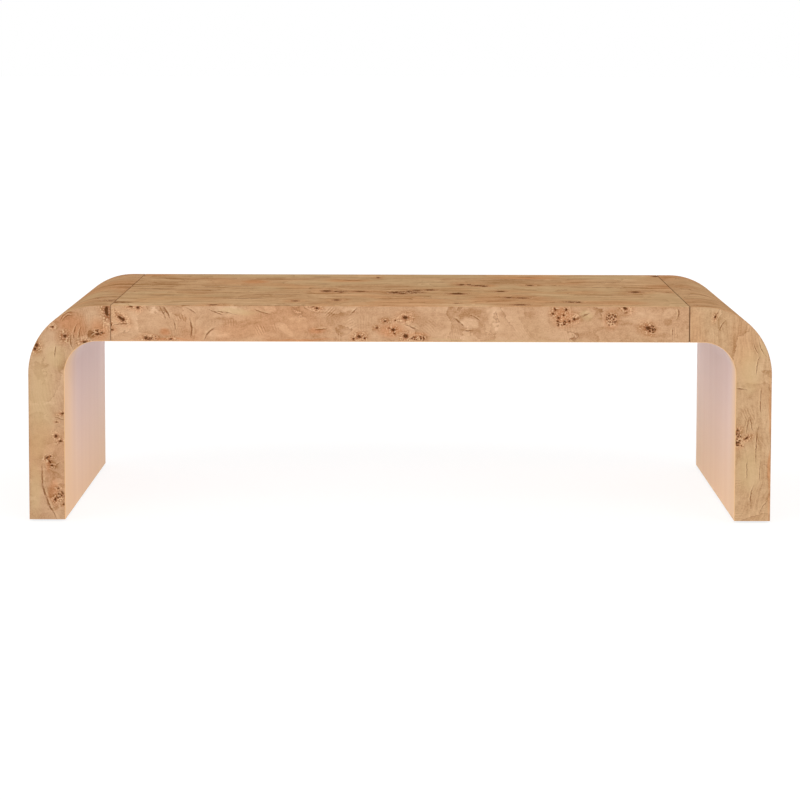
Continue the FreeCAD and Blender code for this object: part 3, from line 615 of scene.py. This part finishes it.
figures["left_leg_front"] = {
    **commonFigure, "seed": 23.5, "grainTurn": 90, "seams": [(-legStartX, 0.25)],
    "tint": paint(249, 252, 254),
    "eyes": [
        (-0.551, 0.4, 0.009, 0.024, 4), (-0.6305, 0.3524, 0.009, 0.008),
        (-0.6533, 0.3692, 0.005, 0.004), (-0.684, 0.335, 0.006, 0.009, 10),
        (-0.6872, 0.328, 0.007, 0.006), (-0.5681, 0.3567, 0.007, 0.005), (-0.5605, 0.359, 0.006, 0.004),
        (-0.5933, 0.3412, 0.011, 0.006, -10), (-0.6364, 0.2059, 0.008, 0.003, 15),
        (-0.647, 0.19, 0.004, 0.002), (-0.6486, 0.1633, 0.006, 0.007, 30),
        (-0.6401, 0.1532, 0.007, 0.004, 15), (-0.6649, 0.1222, 0.008, 0.004, 30),
        (-0.6585, 0.124, 0.004, 0.003), (-0.6617, 0.115, 0.004, 0.009, 25),
        (-0.6571, 0.1072, 0.006, 0.004), (-0.6448, 0.0628, 0.004, 0.003),
        (-0.6509, 0.0423, 0.005, 0.008, -20), (-0.6424, 0.0467, 0.003, 0.003),
        (-0.6353, 0.0327, 0.005, 0.003),
    ],
    "clusters": [(-0.641, 0.048, 0.014, 0.022), (-0.57, 0.359, 0.02, 0.014)],
    "ripples": [(-0.648, 0.307, 0.02, 0.03, 0, 0.6), (-0.598, 0.36, 0.024, 0.04, 10, 1)],
    "patches": [
        (-0.581, 0.356, 0.013, 0.016, 0, -0.34), (-0.625, 0.392, 0.026, 0.016, 30, -0.08),
        (-0.67, 0.25, 0.04, 0.05, 0, 0.04), (-0.685, 0.06, 0.026, 0.06, 0, 0.05),
        (-0.662, 0.138, 0.03, 0.018, 30, 0.12), (-0.647, 0.076, 0.018, 0.012, 20, 0.16),
        (-0.638, 0.305, 0.016, 0.05, 0, -0.12), (-0.67, 0.225, 0.05, 0.006, 0, 0.12),
        (-0.645, 0.375, 0.014, 0.02, 0, -0.08), (-0.675, 0.1, 0.024, 0.006, 10, 0.12),
        (-0.66, 0.33, 0.03, 0.02, 40, 0.08),
    ],
    "mosses": [
        (-0.678, 0.23, 0.056, 0.2), (-0.688, 0.07, 0.024, 0.12), (-0.65, 0.315, 0.04, 0.05),
        (-0.685, 0.15, 0.04, 0.08),
    ],
    "blushes": [
        (-0.62, 0.375, 0.08, 0.05, -20), (-0.565, 0.365, 0.05, 0.05), (-0.661, 0.11, 0.014, 0.034),
        (-0.652, 0.056, 0.026, 0.07),
    ],
    "strokes": [
        (-0.661, 0.057, 0.108, -75, -0.01, 0.003), (-0.659, 0.03, 0.05, -66, -0.002, 0.0018),
        (-0.625, 0.39, 0.03, 25, 0.006, 0.0018), (-0.625, 0.386, 0.022, 25, 0.005, 0.0016),
        (-0.61, 0.36, 0.03, 80, 0.003, 0.0018), (-0.601, 0.356, 0.03, 84, 0.003, 0.0016),
        (-0.617, 0.342, 0.024, 100, 0.003, 0.0018), (-0.643, 0.196, 0.018, -20, 0.001, 0.0016),
        (-0.648, 0.324, 0.02, 84, 0.001, 0.0018), (-0.646, 0.105, 0.02, 60, 0.004, 0.0018),
    ],
}
figures["left_leg_back"] = {**backFigure, "seed": 29.2, "grainTurn": 90}
figures["right_leg_outer"] = {**outsideFigure, "seed": 34.6, "seams": [(legStartX - seamX, 0.45)]}
figures["right_leg_front"] = {
    **commonFigure, "seed": 39.4, "seams": [(legStartX, 0.75)], "tone": 0.53,
    "tint": paint(250, 255, 251), "grain": 0.6, "grainAcross": 240, "grainAlong": 18,
    "grainTurn": 90,
    "eyes": [
        (0.6368, 0.1773, 0.006, 0.005), (0.6319, 0.1675, 0.004, 0.004), (0.6422, 0.1659, 0.003, 0.003),
        (0.6354, 0.1529, 0.007, 0.005), (0.6439, 0.1474, 0.003, 0.003),
        (0.6535, 0.162, 0.01, 0.004, 25), (0.5914, 0.3913, 0.003, 0.007, -20),
    ],
    "clusters": [(0.636, 0.162, 0.016, 0.032)],
    "ripples": [
        (0.64, 0.078, 0.016, 0.014, 90, 1.2), (0.64, 0.015, 0.016, 0.018, 90, 1.2),
        (0.656, 0.205, 0.03, 0.04, 25, 1.1), (0.656, 0.17, 0.014, 0.03, 10, 1),
    ],
    "patches": [
        (0.66, 0.29, 0.04, 0.04, 0, 0.08), (0.605, 0.376, 0.02, 0.03, 20, -0.1),
        (0.67, 0.09, 0.03, 0.05, 0, 0.07), (0.645, 0.23, 0.04, 0.02, 0, 0.06),
        (0.65, 0.264, 0.04, 0.014, 0, -0.08), (0.642, 0.128, 0.016, 0.02, 0, -0.1),
        (0.678, 0.17, 0.014, 0.06, 0, -0.08), (0.656, 0.038, 0.03, 0.03, 0, -0.05),
    ],
    "mosses": [(0.656, 0.29, 0.04, 0.08), (0.66, 0.1, 0.04, 0.08), (0.685, 0.33, 0.03, 0.04)],
    "blushes": [(0.699, 0.13, 0.008, 0.3)],
    "strokes": [
        (0.642, 0.2545, 0.024, -4, 0.001, 0.0015), (0.68, 0.234, 0.046, 88, 0.001, 0.0019),
        (0.658, 0.188, 0.034, 80, 0.003, 0.0015), (0.675, 0.154, 0.076, 86, 0.003, 0.0016),
        (0.6655, 0.05, 0.044, 84, 0.003, 0.0016), (0.656, 0.106, 0.044, 88, 0.001, 0.0014),
        (0.674, 0.3, 0.034, 80, 0.002, 0.0015), (0.606, 0.375, 0.024, 55, 0.002, 0.0015),
        (0.596, 0.397, 0.024, 62, 0.001, 0.0014), (0.687, 0.03, 0.03, 60, 0.002, 0.0014),
        (0.664, 0.19, 0.03, 100, 0.003, 0.0012), (0.68, 0.1, 0.036, 88, 0.001, 0.0012),
        (0.683, 0.33, 0.034, 118, 0.003, 0.0014), (0.67, 0.335, 0.03, 110, 0.003, 0.0012),
    ],
}
figures["right_leg_back"] = {**backFigure, "seed": 44.8, "grainTurn": 90}

plain = {
    "warmTones": [
        (0.0, paint(230, 178, 126)), (0.5, paint(242, 196, 144)), (1.0, paint(252, 212, 164)),
    ],
    # Painted reflection and light: paler, pinker tones for the upper back of a sheet. They stand in for
    # the white surroundings in its sheen, and are lightened against the shade there.
    "paintedSheenTones": [
        (0.0, paint(222, 187, 183)), (0.5, paint(236, 207, 202)), (1.0, paint(248, 225, 220)),
    ],
    "broad": 0.5,  # how much each width of streak adds to the tone
    "streak": 0.30,
    "fibre": 0.22,
    "broadGrain": (22, 1.4),  # how many in a metre, across the grain and along it
    "streakGrain": (230, 6),
    "fibreGrain": (1500, 60),
    "bend": (5, 0.012),
    "paintedSheenFrom": (0.47, 0.07),  # metres from the seam over which the foot's warm colour gives way to the painted reflection
    "roughness": 0.42,
    "roughStreak": 0.1,
    "shine": 0.20,
    "bump": 0.6,
    "pore": 0.00004,
}
plainSheets = {
    # Each sheet's last pair is the stretch of Y over which the front edge's warm colour gives way to
    # the painted reflection.
    "beam": {"seed": 2.0, "tone": 0.50, "paintedSheenBehind": (-0.345, -0.12)},
    "left": {"seed": 4.0, "tone": 0.42, "paintedSheenBehind": (-0.345, -0.12)},
    "right": {"seed": 6.0, "tone": 0.64, "paintedSheenBehind": (-0.350, -0.26)},
}


def plainFinish(name, look):
    # Straight-grained veneer, with the grain along the sheet, and a painted reflection: paler and
    # pinker towards the top and back.
    material, made = newMaterial(name)
    sheet = made.add("UVMap", {"uv_map": "sheet"})
    here = made.wander(made.shift(sheet, [look["seed"]] * 3), *plain["bend"])
    broad = made.grain(here, *plain["broadGrain"], roughness=0.5)
    streak = made.grain(here, *plain["streakGrain"])
    fibre = made.grain(here, *plain["fibreGrain"], detail=2)
    tone = ((broad - 0.5) * plain["broad"] + (streak - 0.5) * plain["streak"]
            + (fibre - 0.5) * plain["fibre"] + look["tone"])
    where = made.add("SeparateXYZ", {}, {0: sheet})
    # Painted reflection: the paler, pinker tones cover the sheet away from the foot and the front edge.
    paintedSheen = made.fade(where, *plain["paintedSheenFrom"]) * made.fade(where.out("Y"), *look["paintedSheenBehind"])
    warmColour = made.ramp(tone, plain["warmTones"])
    paintedSheenColour = made.ramp(tone, plain["paintedSheenTones"])
    colour = made.blend(paintedSheen, warmColour, paintedSheenColour)
    roughness = (streak - 0.5) * plain["roughStreak"] + plain["roughness"]
    made.surface(plain, colour, roughness, (streak + fibre) * plain["pore"])
    return material


sheetShape = {
    "bendSteps": 40,  # slices round the bend
    "arris": 0.0006,  # how far an outer edge is eased
    "arrisSteps": 3,
    "squareAngle": 60,  # edges sharper than this many degrees are square, and are eased
    "creaseAngle": 12,  # edges sharper than this aren't smoothed over
}
hair = sheetThickness / 10  # close enough to count as being on a face


def sectionRow(bm, x, cuts, lowZ, highZ):
    # A row of faces across a sheet, between the cuts along Y.
    pairs = [(bm.verts.new((x, y, lowZ)), bm.verts.new((x, y, highZ))) for y in cuts]
    return [bm.faces.new((near[0], far[0], far[1], near[1]))
            for near, far in zip(pairs, pairs[1:])]


def eachOnce(faces, part):
    # The edges or verts of some faces, each once and always in the same order.
    return list(dict.fromkeys(item for face in faces for item in getattr(face, part)))


def stretch(bm, faces, offset):
    # Extrudes faces by an offset and returns the faces at the new end.
    edges = eachOnce(faces, "edges")
    grown = bmesh.ops.extrude_face_region(bm, geom=[*edges, *faces])["geom"]
    moved = [item for item in grown if isinstance(item, bmesh.types.BMVert)]
    bmesh.ops.translate(bm, verts=moved, vec=offset)
    return [item for item in grown if isinstance(item, bmesh.types.BMFace)]


def bendDown(bm, faces):
    # A quarter turn about the bend's centre, from level to upright.
    edges = eachOnce(faces, "edges")
    verts = eachOnce(faces, "verts")
    spun = bmesh.ops.spin(bm, geom=[*verts, *edges, *faces], cent=(bendX, 0, bendZ), axis=(0, 1, 0),
                          angle=math.pi / 2, steps=sheetShape["bendSteps"], use_duplicate=False)
    return [item for item in spun["geom_last"] if isinstance(item, bmesh.types.BMFace)]


def reachOf(point):
    # A point's distance from the bend's centre, or from the lines that carry on from it.
    x = abs(point.x)
    if x <= bendX:
        return point.z - bendZ
    if point.z <= bendZ:
        return x - bendX
    return math.hypot(x - bendX, point.z - bendZ)


def alongLeg(point, reach):
    # How far a point of a leg's sheet is from the seam, measured along the sheet.
    x = abs(point.x)
    if x <= bendX:
        return x - seamX
    if point.z <= bendZ:
        return bendX - seamX + reach * math.pi / 2 + bendZ - point.z
    return bendX - seamX + reach * math.atan2(x - bendX, point.z - bendZ)


def easeEdges(bm, isOuter):
    # Eases each square edge whose two ends pass the test.
    sharp = math.radians(sheetShape["squareAngle"])
    square = [edge for edge in bm.edges if edge.calc_face_angle(0) > sharp]
    outer = [edge for edge in square if all(isOuter(vert.co) for vert in edge.verts)]
    bmesh.ops.bevel(bm, geom=outer, offset=sheetShape["arris"], offset_type="OFFSET",
                    segments=sheetShape["arrisSteps"], profile=0.5, affect="EDGES", material=-1)


def finishSheet(bm, name, place, material, node):
    # Writes the sheet's own map, smooths it and makes the object that stands for a node.
    bmesh.ops.recalc_face_normals(bm, faces=bm.faces)
    layer = bm.loops.layers.uv.new("sheet")
    for face in bm.faces:
        face.smooth = True
        for loop in face.loops:
            loop[layer].uv = place(loop.vert.co)
    for edge in bm.edges:
        edge.smooth = edge.calc_face_angle(0) < math.radians(sheetShape["creaseAngle"])
    mesh = bpy.data.meshes.new(name)
    bm.to_mesh(mesh)
    bm.free()
    mesh.materials.append(material)
    piece = bpy.data.objects.new(name, mesh)
    scene.collection.objects.link(piece)
    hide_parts(node)
    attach(piece, "root")


def plateNotches():
    # Cuts across a sheet at the edges of the joint plates, which are let into the underside.
    plate = frame["nodes"]["right_joint_plates"].data
    edges = {round(vert.co.y, 4) for vert in plate.vertices if abs(vert.co.x - plateHigh.x) < hair}
    return [frontY, *sorted(edges), -frontY]


def beamSheet(side, cuts, lowZ, highZ, isOuter, place, material, slot):
    # A flat sheet along the beam. With more than two cuts, both ends are notched for the plates.
    bm = bmesh.new()
    notched = len(cuts) > 2
    endX = plateLow.x if notched else beamEndX
    start = sectionRow(bm, -endX, cuts, lowZ, highZ)
    end = stretch(bm, start, (2 * endX, 0, 0))
    if notched:
        end.sort(key=lambda face: face.calc_center_median().y)
        stretch(bm, start[::2], (endX - beamEndX, 0, 0))
        stretch(bm, end[::2], (beamEndX - endX, 0, 0))
    easeEdges(bm, isOuter)
    finishSheet(bm, f"beam_{side}_sheet", place, material, f"beam_{side}_veneer")


def legSheet(leg, side, cuts, lowReach, highReach, isOuter, place, material, slot):
    # A sheet that runs from the seam round the bend to the foot, notched in the same way.
    bm = bmesh.new()
    notched = len(cuts) > 2
    startX = plateHigh.x if notched else legStartX
    start = sectionRow(bm, startX, cuts, bendZ + lowReach, bendZ + highReach)
    end = stretch(bm, start, (bendX - startX, 0, 0))
    stretch(bm, bendDown(bm, end), (0, 0, footZ - bendZ))
    if notched:
        stretch(bm, start[::2], (legStartX - startX, 0, 0))
    easeEdges(bm, isOuter)
    if leg == "left":
        bmesh.ops.scale(bm, vec=(-1, 1, 1), verts=bm.verts)
    finishSheet(bm, f"{leg}_leg_{side}_sheet", place, material, f"{leg}_leg_{side}_veneer")


def onTop(point):
    return point.z > topZ - hair


def onUnderside(point):
    return point.z < undersideZ + hair


def onFront(point):
    return point.y < frontY + hair


def onBack(point):
    return point.y > -frontY - hair


def onOutside(point):
    return reachOf(point) > bendRadius - hair


def onInside(point):
    return reachOf(point) < insideRadius + hair


def flatMap(point):
    return (point.x, point.z)


def levelMap(point):
    return (point.x, point.y)


def outsideMap(point):
    return (alongLeg(point, bendRadius), point.y)


def insideMap(point):
    return (alongLeg(point, insideRadius), point.y)


frontCuts = [frontY, frontY + sheetThickness]
backCuts = [-frontY - sheetThickness, -frontY]
fullCuts = [frontY, -frontY]


def makeBeamSheets():
    thin = sheetThickness
    burlSheets = {
        "top": (fullCuts, topZ - thin, topZ, onTop, levelMap),
        "front": (frontCuts, undersideZ + thin, topZ - thin, onFront, flatMap),
        "back": (backCuts, undersideZ + thin, topZ - thin, onBack, flatMap),
    }
    for side, shape in burlSheets.items():
        material = burlFinish(f"beam_{side}_burl", figures[f"beam_{side}"])
        beamSheet(side, *shape, material, "burl_veneer")
    material = plainFinish("beam_underside_plain", plainSheets["beam"])
    beamSheet("underside", plateNotches(), undersideZ, undersideZ + thin, onUnderside, levelMap,
              material, "plain_veneer")


def makeLegSheets(leg):
    thin = sheetThickness
    burlSheets = {
        "outer": (fullCuts, bendRadius - thin, bendRadius, onOutside, outsideMap),
        "front": (frontCuts, insideRadius + thin, bendRadius - thin, onFront, flatMap),
        "back": (backCuts, insideRadius + thin, bendRadius - thin, onBack, flatMap),
    }
    for side, shape in burlSheets.items():
        material = burlFinish(f"{leg}_leg_{side}_burl", figures[f"{leg}_leg_{side}"])
        legSheet(leg, side, *shape, material, "burl_veneer")
    material = plainFinish(f"{leg}_leg_inner_plain", plainSheets[leg])
    legSheet(leg, "inner", plateNotches(), insideRadius, insideRadius + thin, onInside, insideMap,
             material, "plain_veneer")


makeBeamSheets()
print("beam veneered")
for leg in ("left", "right"):
    makeLegSheets(leg)
    print(leg, "leg veneered")


def objectPlace(made):
    return made.add("TexCoord", {}, {}, "Object")


fibreboard = {
    "tones": [(0.0, paint(118, 88, 60)), (0.5, paint(158, 124, 90)), (1.0, paint(190, 158, 122))],
    "speckles": (900, 3, 0.7),  # how many in a metre, detail and roughness
    "felting": (140, 3, 0.6),
    "speckle": 0.9,  # how much each adds to the tone
    "felt": 0.6,
    "roughness": 0.85,
    "roughFelt": 0.1,
    "shine": 0.2,
    "bump": 0.8,
    "fuzz": 0.0001,
}


def fibreboardFinish():
    # Pressed fibres: a fine speckle over a felted cloud.
    material, made = newMaterial("fibreboard")
    place = objectPlace(made)
    speckle = made.noise(place, *fibreboard["speckles"])
    felt = made.noise(place, *fibreboard["felting"])
    tone = (speckle - 0.5) * fibreboard["speckle"] + (felt - 0.5) * fibreboard["felt"] + 0.5
    colour = made.ramp(tone, fibreboard["tones"])
    roughness = (felt - 0.5) * fibreboard["roughFelt"] + fibreboard["roughness"]
    made.surface(fibreboard, colour, roughness, speckle * fibreboard["fuzz"])
    return material


birch = {
    "tones": [(0.0, paint(176, 138, 96)), (0.5, paint(208, 176, 136)), (1.0, paint(226, 200, 166))],
    "pairOfPlies": 0.0026,  # thickness of two layers
    "plyEdge": 0.3,  # how soft the line between two layers is
    "ply": 0.4,  # how much the layers and the grain add to the tone
    "grain": 0.6,
    "darkest": 0.3,
    "grainAcross": 700,
    "grainAlong": 30,
    "roughness": 0.7,
    "roughGrain": 0.1,
    "shine": 0.3,
    "bump": 0.7,
    "pore": 0.00008,
}


def birchFinish():
    # Plywood: thin layers through its thickness, pale and dark by turns.
    material, made = newMaterial("birch_ply")
    place = objectPlace(made)
    level = made.add("SeparateXYZ", {}, {0: place}, "Z")
    wave = (level * (2 * math.pi / birch["pairOfPlies"])).sine()
    layer = made.fade(wave, -birch["plyEdge"], birch["plyEdge"])
    grain = made.grain(place, birch["grainAcross"], birch["grainAlong"])
    tone = layer * birch["ply"] + (grain - 0.5) * birch["grain"] + birch["darkest"]
    colour = made.ramp(tone, birch["tones"])
    roughness = (grain - 0.5) * birch["roughGrain"] + birch["roughness"]
    made.surface(birch, colour, roughness, grain * birch["pore"])
    return material


steel = {
    # Scratches are counted in a metre, across them and along them.
    "plated_steel": {
        "tones": [(0.2, paint(150, 152, 156)), (0.8, paint(206, 208, 212))],
        "scratches": (900, 40),
    },
    "screw_steel": {
        "tones": [(0.2, paint(160, 158, 150)), (0.8, paint(214, 212, 204))],
        "scratches": (1600, 40),
    },
    "clouds": (160, 3, 0.6),  # how many in a metre, detail and roughness
    "cloud": 0.8,  # how much each adds to the tone
    "scratch": 0.5,
    "roughness": 0.36,
    "rough": 0.2,  # how much each adds to the roughness
    "shine": 0.5,
    "bump": 0.7,
    "metallic": 1.0,
    "scratchDepth": 0.00003,
    "scratchTurn": 20,
}


def steelFinish(name):
    # Zinc-plated steel: a cloudy bright skin with fine scratches one way.
    material, made = newMaterial(name)
    place = objectPlace(made)
    cloudy = made.noise(place, *steel["clouds"])
    scratch = made.grain(place, *steel[name]["scratches"], steel["scratchTurn"], 2)
    tone = (cloudy - 0.5) * steel["cloud"] + (scratch - 0.5) * steel["scratch"] + 0.5
    colour = made.ramp(tone, steel[name]["tones"])
    rough = steel["rough"]
    roughness = (cloudy - 0.5) * rough + (scratch - 0.5) * rough + steel["roughness"]
    made.surface(steel, colour, roughness, scratch * steel["scratchDepth"])
    return material


nylon = {
    "tones": [(0.3, paint(214, 208, 196)), (0.7, paint(233, 229, 220))],
    "grit": (1500, 2, 0.5),  # how many in a metre, detail and roughness
    "milk": (90, 2, 0.5),
    "roughness": 0.5,
    "roughGrit": 0.15,
    "shine": 0.4,
    "bump": 0.6,
    "gritDepth": 0.00003,
}


def nylonFinish():
    # Moulded nylon: milky, with a fine grain from its mould.
    material, made = newMaterial("nylon")
    place = objectPlace(made)
    grit = made.noise(place, *nylon["grit"])
    colour = made.ramp(made.noise(place, *nylon["milk"]), nylon["tones"])
    roughness = (grit - 0.5) * nylon["roughGrit"] + nylon["roughness"]
    made.surface(nylon, colour, roughness, grit * nylon["gritDepth"])
    return material


slotFinishes = {
    "fibreboard": fibreboardFinish(),
    "birch_ply": birchFinish(),
    "plated_steel": steelFinish("plated_steel"),
    "screw_steel": steelFinish("screw_steel"),
    "nylon": nylonFinish(),
}
for entry in frame["record"]["subparts"]:
    finish = slotFinishes.get(entry["material_slot"])
    if finish:
        mesh = frame["nodes"][entry["node"]].data
        mesh.materials.clear()
        mesh.materials.append(finish)
print("boards and hardware finished")

view = {
    "place": (0.0143, -5.5558, 0.9109),
    "lens": 125.3,
    "pitch": 4.951,  # degrees below level
    "yaw": 0.1605,
    "roll": 0.1214,
    "shift": -0.15,  # lowers the frame, so that the legs stand nearly upright in it
    "sensor": 36,  # millimetres wide
    "sight": 200,  # metres
}


def makeCamera():
    data = bpy.data.cameras.new("camera")
    data.lens = view["lens"]
    data.sensor_width = view["sensor"]
    data.shift_y = view["shift"]
    data.clip_end = view["sight"]
    camera = bpy.data.objects.new("camera", data)
    turn = (Matrix.Rotation(math.radians(view["yaw"]), 4, "Z")
            @ Matrix.Rotation(math.radians(90 - view["pitch"]), 4, "X")
            @ Matrix.Rotation(math.radians(view["roll"]), 4, "Z"))
    camera.matrix_world = Matrix.Translation(view["place"]) @ turn
    scene.collection.objects.link(camera)
    scene.camera = camera


pureWhite = (1, 1, 1, 1)
studio = {
    "ambient": 0.36,  # how strongly the surroundings light the object
    "floorColour": paint(236, 236, 236),
    "floorGlow": 0.84,  # what the eye sees of the floor before any light falls on it
    "floorShade": (0.26, 0.26, 0.26, 1),  # how much of the light and shadow on it shows
    "floorSize": 60,
    "lamps": [  # strength, softness in degrees, and where it shines from
        (1.50, 60, (-0.95, -1.0, 0.45)),
        (1.50, 60, (0.95, -1.0, 0.45)),
        (0.90, 70, (-0.8, 1.0, 0.28)),
        (0.90, 70, (0.8, 1.0, 0.28)),
    ],
}


def seenDirectly(made):
    # 1 for what the camera sees, straight or in a reflection or through glass.
    path = made.add("LightPath")
    seen = path.out("Is Camera Ray").highest(path.out("Is Glossy Ray"))
    return seen.highest(path.out("Is Transmission Ray"))


def makeFloor():
    bm = bmesh.new()
    bmesh.ops.create_grid(bm, x_segments=1, y_segments=1, size=studio["floorSize"])
    mesh = bpy.data.meshes.new("floor")
    bm.to_mesh(mesh)
    bm.free()
    material, made = newMaterial("floor")
    lit = made.add("BsdfDiffuse", {}, {"Color": studio["floorColour"]})
    glow = made.add("Emission", {}, {"Color": pureWhite, "Strength": studio["floorGlow"]})
    shade = made.add("BsdfDiffuse", {}, {"Color": studio["floorShade"]})
    shown = made.add("AddShader", {}, {0: glow, 1: shade})
    surface = made.add("MixShader", {}, {0: seenDirectly(made), 1: lit, 2: shown})
    made.add("OutputMaterial", {}, {"Surface": surface})
    mesh.materials.append(material)
    floor = bpy.data.objects.new("floor", mesh)
    scene.collection.objects.link(floor)


def makeWorld():
    world = bpy.data.worlds.new("studio")
    world.use_nodes = True
    scene.world = world
    made = Finish(world.node_tree)
    ambient = made.add("Background", {}, {"Color": pureWhite, "Strength": studio["ambient"]})
    backdrop = made.add("Background", {}, {"Color": pureWhite, "Strength": 1.0})
    surface = made.add("MixShader", {}, {0: seenDirectly(made), 1: ambient, 2: backdrop})
    made.add("OutputWorld", {}, {"Surface": surface})


def makeLamps():
    for number, (strength, softness, source) in enumerate(studio["lamps"], start=1):
        lamp = bpy.data.lights.new(f"lamp_{number}", "SUN")
        lamp.energy = strength
        lamp.angle = math.radians(softness)
        holder = bpy.data.objects.new(f"lamp_{number}", lamp)
        holder.matrix_world = Vector(source).to_track_quat("Z", "Y").to_matrix().to_4x4()
        scene.collection.objects.link(holder)


makeCamera()
makeFloor()
makeWorld()
makeLamps()
print("camera, floor and light placed")
